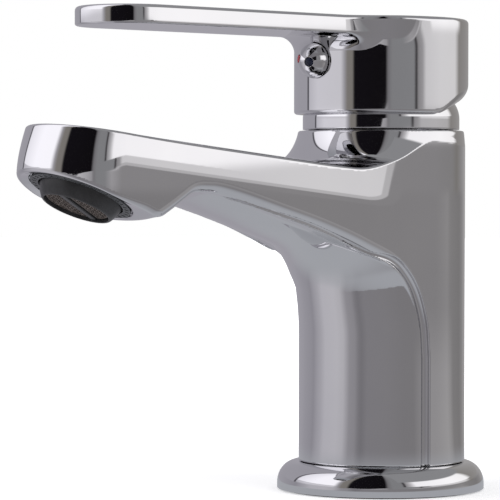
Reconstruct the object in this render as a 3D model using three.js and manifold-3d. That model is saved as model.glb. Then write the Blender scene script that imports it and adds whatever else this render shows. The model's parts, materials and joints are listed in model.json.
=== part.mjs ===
// Single-lever basin mixer: a cast column with a sloping spout, a lever on a ceramic disc cartridge and a ball
// nozzle in the spout. Millimetres, +Z up. The origin is on the column axis at the deck, and the spout and the
// lever point to -Y.
import * as THREE from "three";
import { mergeVertices } from "three/addons/utils/BufferGeometryUtils.js";
import Module from "manifold-3d";

const wasm = await Module();
wasm.setup();

// Gaps and cuts
const clearance = 0.3;
const overrun = 2;

// Faces round a full turn
const fineSides = 48;
const sides = 30;
const smallSides = 16;
const buttonSides = 20;

// Share of a rounded edge's inset at the middle of its curve, and share of a gap within which points are one
const midEdgeShare = 0.3;
const weldShare = 0.001;

// Cartridge, 35 mm size
const cartridgeRadius = 17.4;
const cartridgeWall = 2.2;
const cartridgeBaseHeight = 5;
const discThickness = 3.5;
const fixedDiscInset = 1.6;
const movingDiscInset = 0.6;
const carrierHeight = 5;
const carrierGap = 0.6;
const discTravel = 7.2;
const ceilingThickness = 2;
const neckWall = 2.2;
const inletSpacing = 12;
const inletOffset = 4;
const outletOffset = 7;
const inletRadius = 2.6;
const outletRadius = 3.2;
const sealWall = 1.1;
const sealHeight = 1.6;
const ringCordRadius = 0.6;
const ringAboveBase = 6.6;

// Spindle, pin and stem
const yokeFlangeGap = 2.3;
const yokeAbovePivot = 3.5;
const pinRadius = 1.4;
const pinInset = 1.2;
const stemWidthShare = 0.618;
const stemDepthShare = 0.515;
const stemSquareShare = 0.784;
const liftAngle = THREE.MathUtils.degToRad(24);
const stemBelowCarrierTop = 2.7;

// Nut
const nutWidthShare = 0.2816;
const nutHeight = 8;
const nutSink = 0.8;
const nutHexHeight = 3;

// Column
const bodyWall = 5.3;
const chamberDepth = 32;
const partitionThickness = 18;
const hoseCavityWall = 3.8;
const bodyEdge = 0.8;
const hoseSocketRadius = 5;
const hoseSocketDepth = 9;
const studRadius = 4;
const studDepth = 12;
const studInset = 1.6;
const frontInset = 0.6;

// Flange and gasket
const flangeOverhang = 5.3;
const flangeHeight = 6.4;
const flangeLift = 0.4;
const flangeLip = 2.4;
const shoulderSweep = THREE.MathUtils.degToRad(76);
const gasketInset = 1.6;
const gasketLip = 1.6;
const gasketHeight = 1.5;
const gasketWidth = 6;

// Spout
const spoutReach = 118.3;
const tipRadius = 17;
const outletHeight = 80.25;
const topAboveOutlet = 8.65;
const neckRise = 9.1;
const neckReach = 14.7;
const neckRadius = 15;
const topSlope = Math.tan(THREE.MathUtils.degToRad(6.3));
const tipLean = Math.tan(THREE.MathUtils.degToRad(15));
const spoutEdge = 1.6;
const bellyInset = 1.6;
const bellyLid = 2;
const waterwayRadius = 3;
const waterwayHalfWidth = 15;
const waterwayHalfHeight = 4.8;

// Aerator
const aeratorInset = 15.7;
const aeratorTilt = THREE.MathUtils.degToRad(24.4);
const recessRadius = 13.8;
const recessDepth = 1.2;
const socketLedge = 0.8;
const socketDepth = 8.4;
const leanStart = 7;
const aeratorFaceInset = 0.5;
const aeratorFaceHeight = 1;
const ballRadius = 11.3;
const ballSink = 3.2;
const nozzleReach = 3.5;
const nozzleWall = 1.1;
const nozzleTopAboveBall = 2.2;
const barWidth = 1.8;
const barHeight = 2.4;
const barTurn = THREE.MathUtils.degToRad(17);
const screenThickness = 0.5;
const screenSink = 0.9;
const plateThickness = 0.8;
const plateInset = 3.1;
const plateHoleRadius = 0.7;
const plateHoleRing = 5.2;
const plateHoles = 8;
const washerHeight = 1;
const washerWidth = 2;

// Trim dome
const trimStep = 1.6;
const trimWall = 1.5;
const trimStraight = 4.2;
const trimHeight = 10.7;
const trimCurve = 7.5;
const pivotAboveBody = 1.5;

// Handle
const capGap = 0.5;
const capWall = 1.9;
const capBottomAboveBody = 5.2;
const capHeight = 25;
const capEdge = 1.2;
const capTopThickness = 5.2;
const reliefStart = 3;
const reliefSlope = 0.29;
const bladeReach = 101;
const bladeHalfWidth = 13.6;
const bladeThickness = 4.9;
const bladeEdge = 1;
const bladeFillet = 5;
const bladeUnderFillet = 4;
const hubRadius = 8;
const hubDepth = 8;
const screwRadius = 2.4;
const screwLength = 5.4;
const screwSocketDepth = 2;
const screwSocketRadius = 1.3;
const buttonRadius = 4.75;
const buttonDrop = 11.4;
const buttonSink = 0.9;
const pegLength = 2.2;
const dotRadius = 1.1;
const dotDepth = 0.8;
const dotAngle = THREE.MathUtils.degToRad(28);

// Derived levels and reaches that the rest hangs on
const topHeightAtNeck = outletHeight + topAboveOutlet;
const bodyTop = topHeightAtNeck + neckRise;
const aeratorReach = spoutReach - aeratorInset;

// Derived radii and levels of the column
const chamberRadius = cartridgeRadius + clearance;
const bodyRadius = chamberRadius + bodyWall;
const bodyBottom = flangeLift + flangeHeight + clearance;
const chamberFloor = bodyTop - chamberDepth;
const hoseCavityTop = chamberFloor - partitionThickness;
const hoseCavityRadius = bodyRadius - frontInset - hoseCavityWall;
const flangeRadius = bodyRadius + flangeOverhang;
const frontRadius = bodyRadius - frontInset;
const studOffset = hoseCavityRadius - studInset - studRadius;

// Derived radii of the cartridge
const housingInnerRadius = cartridgeRadius - cartridgeWall;
const fixedDiscRadius = housingInnerRadius - fixedDiscInset;
const carrierRadius = housingInnerRadius - discTravel / 2 - carrierGap;
const movingDiscRadius = carrierRadius - movingDiscInset;
const neckOuterRadius = cartridgeRadius * (1 - nutWidthShare) - clearance;
const spindleRadius = neckOuterRadius - neckWall - clearance;
const stemWidth = stemWidthShare * spindleRadius;
const stemDepth = stemDepthShare * spindleRadius;
const stemSquare = stemSquareShare * spindleRadius;

// Derived levels of the cartridge
const baseBottom = chamberFloor + clearance;
const baseTop = baseBottom + cartridgeBaseHeight;
const fixedDiscBottom = baseTop + clearance;
const movingDiscBottom = fixedDiscBottom + discThickness + clearance;
const carrierBottom = movingDiscBottom + discThickness + clearance;
const carrierTop = carrierBottom + carrierHeight;
const nutTop = bodyTop - nutSink;
const nutBottom = nutTop - nutHeight;
const housingShoulder = nutBottom - clearance;
const housingCeiling = housingShoulder - ceilingThickness;
const yokeBottom = carrierTop + clearance;
const pivotHeight = bodyTop + pivotAboveBody;
const yokeTop = pivotHeight + yokeAbovePivot;
const discOffset = discTravel / 2;
const ringSeatRadius = chamberRadius - ringCordRadius - clearance / 2;
const stemShoulder =
  pivotHeight +
  (yokeAbovePivot + clearance + (stemSquare / 2) * Math.sin(liftAngle)) / Math.cos(liftAngle);

// Derived radii and levels of the trim and the handle
const trimRadius = bodyRadius - trimStep;
const trimBottom = bodyTop + clearance;
const capInnerRadius = trimRadius + capGap;
const capRadius = capInnerRadius + capWall;
const capBottom = bodyTop + capBottomAboveBody;
const capTop = capBottom + capHeight;
const capCeiling = capTop - capTopThickness;
const hubBottom = capCeiling - hubDepth;
const stemTop = capCeiling - clearance;
const buttonHeight = capTop - buttonDrop;

// Derived sizes of the spout and the aerator
const tipCentreY = tipRadius - spoutReach;
const sideAngle = Math.asin((bodyRadius - tipRadius) / -tipCentreY);
const neckEndY = -(bodyRadius + neckReach);
const socketRadius = recessRadius - socketLedge;
const aeratorY = -aeratorReach;

// Guide lines of the underside in the plane of symmetry, root to tip. Each row gives the share of the column
// radius and of the run from column to recess in the reach, and the share of the outlet's height in the height.
const creaseShares = [
  [0.257, 0, 0.464],
  [0.29, 0, 0.574],
  [0.4, 0, 0.6717],
  [0.56, 0, 0.7376],
  [0.75, 0, 0.7816],
  [1, 0.015, 0.8182],
  [1, 0.13, 0.8573],
  [1, 0.28, 0.9],
  [1, 0.45, 0.9403],
  [1, 0.62, 0.9818],
  [1, 0.738, 1.0056],
  [1, 0.8024, 1.0107],
  [1, 0.8587, 1.0081],
  [1, 0.9058, 0.9856],
  [1, 0.9544, 0.9595],
  [1, 1.018, 0.9283],
  [1, 1.061, 0.9084],
];
const keelShares = [
  [0.974, 0, 0.464],
  [0.978, 0, 0.5617],
  [1, 0.004, 0.6472],
  [1, 0.02, 0.712],
  [1, 0.056, 0.7645],
  [1, 0.12, 0.8072],
  [1, 0.2, 0.839],
  [1, 0.33, 0.8744],
  [1, 0.48, 0.9159],
  [1, 0.64, 0.955],
  [1, 0.75, 0.9782],
  [1, 0.8085, 0.9882],
  [1, 0.8556, 0.9794],
  [1, 0.8906, 0.9633],
  [1, 0.9316, 0.9396],
  [1, 0.9848, 0.9159],
  [1, 1.024, 0.8972],
];

// The centre line of the waterway in the same shares, and how far it has spread to its full width at each row.
const waterwayShares = [
  [0.565, 0, 0.7107],
  [0.857, 0, 0.7388],
  [0.996, 0, 0.806],
  [1, 0.078, 0.8609],
  [1, 0.166, 0.9012],
  [1, 0.297, 0.9537],
  [1, 0.446, 1.0093],
  [1, 0.624, 1.0467],
  [1, 0.868, 1.0746],
  [1, 1.111, 1.0893],
];
const waterwaySpreads = [0, 0, 0, 0, 0, 0.45, 0.85, 1, 0.8, 0.55];

const spoutRun = aeratorReach - recessRadius - bodyRadius;

function guidePoints(shares) {
  return shares.map(([radiusShare, runShare, heightShare]) => {
    const y = -(radiusShare * bodyRadius + runShare * spoutRun);
    return new THREE.Vector2(y, heightShare * outletHeight);
  });
}

// A geometry as a solid, with its faces turned outwards.
function solid(geometry) {
  const bare = geometry.clone();
  bare.deleteAttribute("normal");
  bare.deleteAttribute("uv");
  const merged = mergeVertices(bare, weldShare * clearance);
  const vertProperties = new Float32Array(merged.attributes.position.array);
  const triVerts = new Uint32Array(merged.index.array);
  const corner = (k) => new THREE.Vector3().fromArray(vertProperties, 3 * triVerts[k]);
  let volume = 0;
  for (let i = 0; i < triVerts.length; i += 3) {
    volume += corner(i).dot(corner(i + 1).cross(corner(i + 2)));
  }
  if (volume < 0) triVerts.reverse();
  return new wasm.Manifold(new wasm.Mesh({ numProp: 3, vertProperties, triVerts }));
}

function geometryOf(made) {
  const mesh = made.getMesh();
  const geometry = new THREE.BufferGeometry();
  geometry.setAttribute("position", new THREE.BufferAttribute(new Float32Array(mesh.vertProperties), 3));
  geometry.setIndex(new THREE.BufferAttribute(new Uint32Array(mesh.triVerts), 1));
  return geometry;
}

function join(first, ...others) {
  return others.reduce((sum, other) => sum.add(other), first);
}

function cut(first, ...others) {
  return others.reduce((rest, other) => rest.subtract(other), first);
}

// A closed profile of [radius, height] points turned about Z.
function turned(profile, around = sides) {
  const points = profile.map(([r, z]) => new THREE.Vector2(r, z));
  if (profile[0][0] > 0) points.push(points[0].clone());
  return solid(new THREE.LatheGeometry(points, around).rotateX(Math.PI / 2));
}

function tube(inner, outer, bottom, top, around = sides) {
  return turned(
    [
      [inner, bottom],
      [outer, bottom],
      [outer, top],
      [inner, top],
    ],
    around,
  );
}

function rod(radius, bottom, top, around = sides, x = 0, y = 0) {
  const geometry = new THREE.CylinderGeometry(radius, radius, top - bottom, around);
  geometry.rotateX(Math.PI / 2);
  return solid(geometry.translate(x, y, (bottom + top) / 2));
}

function box(x0, x1, y0, y1, z0, z1) {
  const block = new THREE.BoxGeometry(x1 - x0, y1 - y0, z1 - z0);
  return solid(block.translate((x0 + x1) / 2, (y0 + y1) / 2, (z0 + z1) / 2));
}

// A rod along X through a place on the Y-Z plane.
function rodAlongX(radius, x0, x1, y, z) {
  const geometry = new THREE.CylinderGeometry(radius, radius, x1 - x0, smallSides);
  return solid(geometry.rotateZ(Math.PI / 2).translate((x0 + x1) / 2, y, z));
}

// A rod along Y at a height above the axis.
function rodAlongY(radius, y0, y1, z, around = smallSides) {
  const geometry = new THREE.CylinderGeometry(radius, radius, y1 - y0, around);
  return solid(geometry.translate(0, (y0 + y1) / 2, z));
}

// A ring of round section about Z.
function ring(radius, cordRadius, z) {
  return solid(new THREE.TorusGeometry(radius, cordRadius, smallSides / 2, sides).translate(0, 0, z));
}

// A profile of [y, z] points extruded along X to both sides.
function extrudedAcross(profile, halfWidth) {
  const shape = new THREE.Shape(profile.map(([y, z]) => new THREE.Vector2(y, z)));
  const geometry = new THREE.ExtrudeGeometry(shape, { depth: 2 * halfWidth, bevelEnabled: false });
  geometry.translate(0, 0, -halfWidth).rotateX(Math.PI / 2).rotateZ(Math.PI / 2);
  return solid(geometry);
}

function arc(cx, cy, radius, from, to, steps) {
  return Array.from({ length: steps + 1 }, (_, i) => {
    const a = from + ((to - from) * i) / steps;
    return [cx + radius * Math.cos(a), cy + radius * Math.sin(a)];
  });
}

// A closed surface through rings of equal length, with the same cap triangles on its first and last ring.
function loft(rings, cap) {
  const count = rings[0].length;
  const last = (rings.length - 1) * count;
  const index = [];
  for (let k = 0; k + 1 < rings.length; k++) {
    for (let i = 0; i < count; i++) {
      const a = k * count + i;
      const b = k * count + ((i + 1) % count);
      index.push(a, b, b + count, a, b + count, a + count);
    }
  }
  for (const [a, b, c] of cap) index.push(c, b, a, last + a, last + b, last + c);
  const geometry = new THREE.BufferGeometry();
  geometry.setAttribute("position", new THREE.Float32BufferAttribute(rings.flat(2), 3));
  geometry.setIndex(index);
  return solid(geometry);
}

// Triangles across a ring whose point i lies opposite point count - 1 - i.
function stripCap(count) {
  const cap = [];
  for (let i = 0; i < Math.floor((count - 1) / 2); i++) {
    const j = count - 1 - i;
    cap.push([i, i + 1, j]);
    if (i + 1 < j - 1) cap.push([i + 1, j - 1, j]);
  }
  return cap;
}

// The right half of a plan outline, rows of [x, y, normalX, normalY] from root to tip, is mirrored and stacked.
// Each level gives the inset, the height and the forward shift of its ring at a point of the outline.
function prism(half, levels) {
  const rings = levels.map((level) => {
    const right = half.map(([x, y, nx, ny]) => {
      const { inset = 0, z, shift = 0 } = level(y, ny);
      return [x - inset * nx, y - inset * ny + shift, z];
    });
    const left = right.slice(0, -1).map(([x, y, z]) => [-x, y, z]);
    return [...right, ...left.reverse()];
  });
  return loft(rings, stripCap(rings[0].length));
}

// Plan outline of the spout: tangent sides from the column to a round tip.
function spoutOutline() {
  const steps = 12;
  const rootRadius = bodyRadius - frontInset;
  const rootX = rootRadius * Math.cos(sideAngle);
  const rootY = -rootRadius * Math.sin(sideAngle);
  const nx = Math.cos(sideAngle);
  const ny = -Math.sin(sideAngle);
  const tipX = tipRadius * nx;
  const tipY = tipCentreY + tipRadius * ny;
  const flats = 10;
  const side = Array.from({ length: flats }, (_, i) => {
    const t = i / flats;
    return [rootX + (tipX - rootX) * t, rootY + (tipY - rootY) * t, nx, ny];
  });
  const tip = Array.from({ length: steps + 1 }, (_, i) => {
    const a = -sideAngle - ((Math.PI / 2 - sideAngle) * i) / steps;
    const x = i === steps ? 0 : tipRadius * Math.cos(a);
    return [x, tipCentreY + tipRadius * Math.sin(a), x / tipRadius, Math.sin(a)];
  });
  return [...side, ...tip];
}

function spoutTopHeight(y) {
  return topHeightAtNeck + topSlope * (neckEndY - y);
}

// The end face of the spout leans back towards its top.
function leanShift(z, ny) {
  return Math.max(0, z - outletHeight - leanStart) * tipLean * Math.max(0, -ny);
}

function spoutSlab() {
  const rows = [
    [0, (y) => bodyBottom],
    [0, (y) => outletHeight + leanStart],
    [0, (y) => spoutTopHeight(y) - spoutEdge],
    [midEdgeShare, (y) => spoutTopHeight(y) - midEdgeShare * spoutEdge],
    [1, (y) => spoutTopHeight(y)],
  ];
  const levels = rows.map(([edgeShare, height]) => (y, ny) => {
    const z = height(y);
    return { inset: edgeShare * spoutEdge, z, shift: leanShift(z, ny) };
  });
  return prism(spoutOutline(), levels);
}

// Concave neck between the column and the top face, as a height over polar cells in front of the column.
function neckFlare() {
  const turns = 24;
  const hollows = 7;
  const rim = bodyTop - bodyEdge;
  const fall = (s) => neckRadius - Math.sqrt(neckRadius ** 2 - (neckReach * (1 - s)) ** 2);
  const bottom = 2 * topHeightAtNeck - bodyTop;
  const rings = Array.from({ length: turns + 1 }, (_, k) => {
    const a = -Math.PI + (Math.PI * k) / turns;
    const at = (r, z) => [r * Math.cos(a), r * Math.sin(a), z];
    const curve = Array.from({ length: hollows + 1 }, (_, i) => {
      const s = i / hollows;
      const r = bodyRadius + neckReach * s;
      const base = spoutTopHeight(r * Math.sin(a)) - (i === hollows ? spoutEdge : 0);
      return at(r, base + ((rim - base) * fall(s)) / fall(0));
    });
    const r0 = bodyRadius - bodyWall;
    return [...curve, at(bodyRadius + neckReach, bottom), at(r0, bottom), at(r0, rim)];
  });
  const count = rings[0].length;
  const cap = Array.from({ length: count - 3 }, (_, i) => [count - 2, i === 0 ? count - 1 : i - 1, i]);
  cap.push([count - 2, count - 4, count - 3]);
  return loft(rings, cap);
}

// The space in front of and under the crease line, across the whole width. Past the heel it runs on a little
// under the aerator face.
function underCrease(crease) {
  const beyond = spoutReach + overrun;
  const heel = crease[crease.length - 1];
  const profile = [
    [crease[0].x, -overrun],
    ...crease.map((p) => [p.x, p.y]),
    [-beyond, heel.y + (beyond + heel.x) * Math.tan(aeratorTilt)],
    [-beyond, -overrun],
  ];
  return extrudedAcross(profile, bodyRadius + overrun);
}

// Rounded belly of the spout: circular arcs between the crease line and the keel line.
function belly(crease, keel) {
  const across = 10;
  const inward = (i) => {
    const after = crease[Math.min(i + 1, crease.length - 1)];
    const along = after.clone().sub(crease[Math.max(i - 1, 0)]).normalize();
    return new THREE.Vector2(along.y, -along.x).multiplyScalar(bellyLid);
  };
  const rings = crease.map((line, i) => {
    const edge = line.clone().addScaledVector(inward(i), clearance / bellyLid);
    const bottom = keel[i];
    const depth = edge.distanceTo(bottom);
    const sideX = bodyRadius * Math.cos(sideAngle) + edge.x * Math.tan(sideAngle) - bellyInset;
    const columnX = Math.sqrt(Math.max(frontRadius ** 2 - edge.x ** 2, 0));
    const half = edge.x > -bodyRadius / 2 ? Math.min(sideX, columnX) : sideX;
    const radius = (depth ** 2 + half ** 2) / (2 * depth);
    const reach = Math.asin(Math.min(half / radius, 1));
    const down = bottom.clone().sub(edge).normalize();
    const lid = edge.clone().add(inward(i));
    const arcPoints = Array.from({ length: across + 1 }, (_, k) => {
      const a = reach * (1 - (2 * k) / across);
      const d = radius * Math.cos(a) - (radius - depth);
      return [radius * Math.sin(a), edge.x + down.x * d, edge.y + down.y * d];
    });
    return [[half, lid.x, lid.y], ...arcPoints, [-half, lid.x, lid.y]];
  });
  return loft(rings, stripCap(rings[0].length));
}

// A solid that is built along the aerator axis, moved to its seat in the spout.
function atAerator(made) {
  const degrees = THREE.MathUtils.radToDeg(aeratorTilt);
  return made.rotate([-degrees, 0, 0]).translate([0, aeratorY, outletHeight]);
}

// Water path from the outlet in the chamber floor to the aerator socket.
function waterways() {
  const start = new THREE.Vector2(-outletOffset, waterwayShares[0][2] * outletHeight);
  const course = new THREE.SplineCurve([start, ...guidePoints(waterwayShares)]);
  const spreads = [0, ...waterwaySpreads];
  const stations = 16;
  const rings = Array.from({ length: stations + 1 }, (_, k) => {
    const t = k / stations;
    const centre = course.getPoint(t);
    const along = course.getTangent(t);
    const place = t * (spreads.length - 1);
    const before = Math.floor(place);
    const after = Math.min(before + 1, spreads.length - 1);
    const spread = spreads[before] + (spreads[after] - spreads[before]) * (place - before);
    const halfWidth = waterwayRadius + spread * (waterwayHalfWidth - waterwayRadius);
    const halfHeight = waterwayRadius + spread * (waterwayHalfHeight - waterwayRadius);
    return arc(0, 0, 1, 0, 2 * Math.PI * (1 - 1 / smallSides), smallSides - 1).map(([c, s]) => {
      const rise = halfHeight * s;
      return [halfWidth * c, centre.x + along.y * rise, centre.y - along.x * rise];
    });
  });
  const cap = Array.from({ length: smallSides - 2 }, (_, i) => [0, i + 1, i + 2]);
  const bore = rod(outletRadius, start.y - outletRadius, chamberFloor + overrun, smallSides, 0, -outletOffset);
  return join(bore, loft(rings, cap));
}

function hoseSockets() {
  return [-1, 1].map((side) => {
    const x = (side * inletSpacing) / 2;
    const socketTop = hoseCavityTop + hoseSocketDepth;
    const socket = rod(hoseSocketRadius, hoseCavityTop - overrun, socketTop, smallSides, x, inletOffset);
    const bore = rod(inletRadius, hoseCavityTop, chamberFloor + overrun, smallSides, x, inletOffset);
    return join(socket, bore);
  });
}

// Everything just under the tilted face that the aerator sits in.
function underFace() {
  const wide = bodyRadius + overrun;
  return atAerator(box(-wide, wide, -wide, wide, -2 * overrun, 0));
}

function bodyCasting() {
  const guideSteps = 24;
  const crease = new THREE.SplineCurve(guidePoints(creaseShares)).getPoints(guideSteps);
  const keel = new THREE.SplineCurve(guidePoints(keelShares)).getPoints(guideSteps);
  const foot = (p) => new THREE.Vector2(p.x, bodyBottom);
  crease.unshift(foot(crease[0]));
  keel.unshift(foot(keel[0]));
  const column = turned(
    [
      [0, bodyBottom],
      [bodyRadius - bodyEdge, bodyBottom],
      [bodyRadius, bodyBottom + bodyEdge],
      [bodyRadius, bodyTop - bodyEdge],
      [bodyRadius - bodyEdge, bodyTop],
      [0, bodyTop],
    ],
    fineSides,
  );
  const tall = [bodyBottom, bodyTop + overrun].map((z) => () => ({ inset: clearance, z }));
  const neck = neckFlare().intersect(prism(spoutOutline(), tall));
  const shell = join(cut(join(column, spoutSlab(), neck), underCrease(crease)), belly(crease, keel));
  const socket = atAerator(rod(socketRadius, -overrun, socketDepth, fineSides));
  const recess = atAerator(rod(recessRadius, -overrun, recessDepth, fineSides));
  const chamber = rod(chamberRadius, chamberFloor, bodyTop + overrun, fineSides);
  const hoseCavity = rod(hoseCavityRadius, bodyBottom - overrun, hoseCavityTop, sides);
  const studTop = hoseCavityTop + studDepth;
  const stud = rod(studRadius, hoseCavityTop - overrun, studTop, smallSides, 0, studOffset);
  const hollows = [chamber, hoseCavity, stud, waterways(), ...hoseSockets()];
  return cut(shell, underFace(), socket, recess, ...hollows);
}

function baseFlange() {
  const inner = hoseCavityRadius + gasketInset;
  const bottom = flangeLift;
  const top = flangeLift + flangeHeight;
  const shoulder = flangeHeight - flangeLip;
  const curve = arc(flangeRadius - shoulder, bottom + flangeLip, shoulder, 0, shoulderSweep, 5);
  const pocketRadius = flangeRadius - gasketLip;
  return turned(
    [
      [inner, bottom + gasketHeight],
      [pocketRadius, bottom + gasketHeight],
      [pocketRadius, bottom],
      [flangeRadius, bottom],
      ...curve,
      [bodyRadius, top],
      [inner, top],
    ],
    fineSides,
  );
}

function baseGasket() {
  const outer = flangeRadius - gasketLip - clearance;
  return tube(outer - gasketWidth, outer, 0, flangeLift + gasketHeight - clearance, sides);
}

function trimDome() {
  const straightTop = bodyTop + trimStraight;
  const top = bodyTop + trimHeight;
  const rise = top - straightTop;
  const centreX = trimRadius - trimCurve;
  const outside = arc(0, 0, 1, 0, Math.PI / 2, 4).map(([c, s]) => {
    return [centreX + trimCurve * c, straightTop + rise * s];
  });
  const inside = arc(0, 0, 1, Math.PI / 2, 0, 3).map(([c, s]) => {
    return [centreX + (trimCurve - trimWall) * c, straightTop + (rise - trimWall) * s];
  });
  const opening = neckOuterRadius + clearance;
  return turned(
    [
      [trimRadius - trimWall, trimBottom],
      [trimRadius, trimBottom],
      ...outside,
      [opening, top],
      [opening, top - trimWall],
      ...inside,
    ],
    fineSides,
  );
}

function cartridgeBase() {
  const plate = rod(cartridgeRadius, baseBottom, baseTop);
  const bores = portPlaces().map(([x, y, radius]) => {
    const pocket = radius + sealWall + clearance;
    return join(
      rod(radius, baseBottom - overrun, baseTop + overrun, smallSides, x, y),
      rod(pocket, baseBottom - overrun, baseBottom + sealHeight, smallSides, x, y),
    );
  });
  return cut(plate, ...bores);
}

// The two inlets and the outlet, as [x, y, radius].
function portPlaces() {
  return [
    [-inletSpacing / 2, inletOffset, inletRadius],
    [inletSpacing / 2, inletOffset, inletRadius],
    [0, -outletOffset, outletRadius],
  ];
}

function portSeal([x, y, radius]) {
  const bottom = chamberFloor + clearance / 2;
  const top = baseBottom + sealHeight - clearance / 2;
  return tube(radius, radius + sealWall, bottom, top, smallSides).translate([x, y, 0]);
}

function fixedDisc() {
  const disc = rod(fixedDiscRadius, fixedDiscBottom, fixedDiscBottom + discThickness);
  const holes = portPlaces().map(([x, y, radius]) => {
    return rod(radius, fixedDiscBottom - overrun, movingDiscBottom, smallSides, x, y);
  });
  return cut(disc, ...holes);
}

function movingDisc() {
  const disc = rod(movingDiscRadius, movingDiscBottom, movingDiscBottom + discThickness);
  const pocketRadius = movingDiscRadius - outletRadius;
  const pocket = rod(pocketRadius, movingDiscBottom - overrun, movingDiscBottom + discThickness / 2, sides);
  return cut(disc, pocket).translate([0, discOffset, 0]);
}

function discCarrier() {
  const plate = rod(carrierRadius, carrierBottom, carrierTop, sides, 0, discOffset);
  const half = stemWidth / 2 + clearance;
  const reach = stemDepth / 2 + 2 * clearance;
  const floor = carrierTop - stemBelowCarrierTop - 2 * clearance;
  return cut(plate, box(-half, half, -reach, reach, floor, carrierTop + overrun));
}

function cartridgeHousing() {
  const innerRadius = housingInnerRadius;
  const bottom = baseTop + clearance;
  const bore = spindleRadius + clearance;
  const groove = bottom + ringAboveBase;
  const grooveHalf = ringCordRadius + clearance;
  const grooveRadius = ringSeatRadius - grooveHalf;
  return turned([
    [innerRadius, bottom],
    [cartridgeRadius, bottom],
    [cartridgeRadius, groove - grooveHalf],
    [grooveRadius, groove - grooveHalf],
    [grooveRadius, groove + grooveHalf],
    [cartridgeRadius, groove + grooveHalf],
    [cartridgeRadius, housingShoulder],
    [neckOuterRadius, housingShoulder],
    [neckOuterRadius, nutTop],
    [bore, nutTop],
    [bore, housingCeiling],
    [innerRadius, housingCeiling],
  ]);
}

function housingRing() {
  return ring(ringSeatRadius, ringCordRadius, baseTop + clearance + ringAboveBase);
}

function cartridgeNut() {
  const outer = chamberRadius - clearance;
  const inner = neckOuterRadius + clearance;
  const hexBottom = nutTop - nutHexHeight;
  const round = tube(inner, outer, nutBottom, hexBottom);
  const hex = rod(outer, hexBottom - clearance, nutTop, 6);
  return join(round, cut(hex, rod(inner, nutBottom - overrun, nutTop + overrun)));
}

function cartridgeYoke() {
  const flange = rod(housingInnerRadius - yokeFlangeGap, yokeBottom, housingCeiling - clearance);
  const spindle = rod(spindleRadius, yokeBottom, yokeTop);
  const half = stemWidth / 2 + clearance;
  const halfDepth = stemDepth / 2 / Math.cos(liftAngle);
  const front = (pivotHeight - yokeBottom) * Math.tan(liftAngle) + halfDepth + clearance;
  const back = yokeAbovePivot * Math.tan(liftAngle) + halfDepth + clearance;
  const slot = box(-half, half, -front, back, yokeBottom - overrun, yokeTop + overrun);
  const bore = rodAlongX(pinRadius + clearance, -bodyRadius, bodyRadius, 0, pivotHeight);
  return cut(join(flange, spindle), slot, bore);
}

function pivotPin() {
  const half = spindleRadius - pinInset;
  return rodAlongX(pinRadius, -half, half, 0, pivotHeight);
}

function leverStem() {
  const half = stemWidth / 2;
  const depth = stemDepth / 2;
  const square = stemSquare / 2;
  const bottom = carrierTop - stemBelowCarrierTop;
  const shank = box(-half, half, -depth, depth, bottom + depth, stemShoulder + clearance);
  const foot = rodAlongX(depth, -half, half, 0, bottom + depth);
  const head = box(-square, square, -square, square, stemShoulder, stemTop);
  const bore = rodAlongX(pinRadius + clearance, -bodyRadius, bodyRadius, 0, pivotHeight);
  return cut(join(shank, foot, head), bore);
}

// Plan outline of the lever blade: concave roots on the cap, straight sides and a round tip.
function bladeOutline() {
  const rootX = bladeHalfWidth + bladeFillet;
  const rootY = -Math.sqrt((capRadius + bladeFillet) ** 2 - rootX ** 2);
  const rootAngle = Math.atan2(-rootY, -rootX);
  const rootSteps = 5;
  const tipSteps = 12;
  const root = arc(rootX, rootY, bladeFillet, rootAngle, Math.PI, rootSteps).map(([x, y]) => {
    return [x, y, (rootX - x) / bladeFillet, (rootY - y) / bladeFillet];
  });
  const tipY = bladeHalfWidth - bladeReach;
  const tip = arc(0, tipY, bladeHalfWidth, 0, -Math.PI / 2, tipSteps).map(([x, y], i) => {
    const exact = i === tipSteps ? 0 : x;
    return [exact, y, exact / bladeHalfWidth, (y - tipY) / bladeHalfWidth];
  });
  const start = root[0];
  const inside = [start[0] / 2, start[1] / 2, start[2], start[3]];
  return [inside, ...root, ...tip];
}

function bladeSolid() {
  const bottom = capTop - bladeThickness;
  const rows = [
    [1, bottom],
    [midEdgeShare, bottom + midEdgeShare * bladeEdge],
    [0, bottom + bladeEdge],
    [0, capTop - bladeEdge],
    [midEdgeShare, capTop - midEdgeShare * bladeEdge],
    [1, capTop],
  ];
  return prism(
    bladeOutline(),
    rows.map(([edgeShare, z]) => () => ({ inset: edgeShare * bladeEdge, z })),
  );
}

// Concave fillet under the blade at the front of the cap, grown by a gap.
function bladeUnderside(gap) {
  const bottom = capTop - bladeThickness;
  const reach = capRadius + bladeUnderFillet;
  const hollow = arc(reach, bottom - bladeUnderFillet, bladeUnderFillet - gap, Math.PI, Math.PI / 2, 6);
  const collar = turned(
    [
      [capRadius - capWall / 2, bottom - bladeUnderFillet],
      ...hollow,
      [reach, bottom + bladeEdge],
      [capRadius - capWall / 2, bottom + bladeEdge],
    ],
    fineSides,
  );
  return collar.intersect(prism(bladeOutline(), [() => ({ z: capBottom }), () => ({ z: capTop })]));
}

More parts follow.
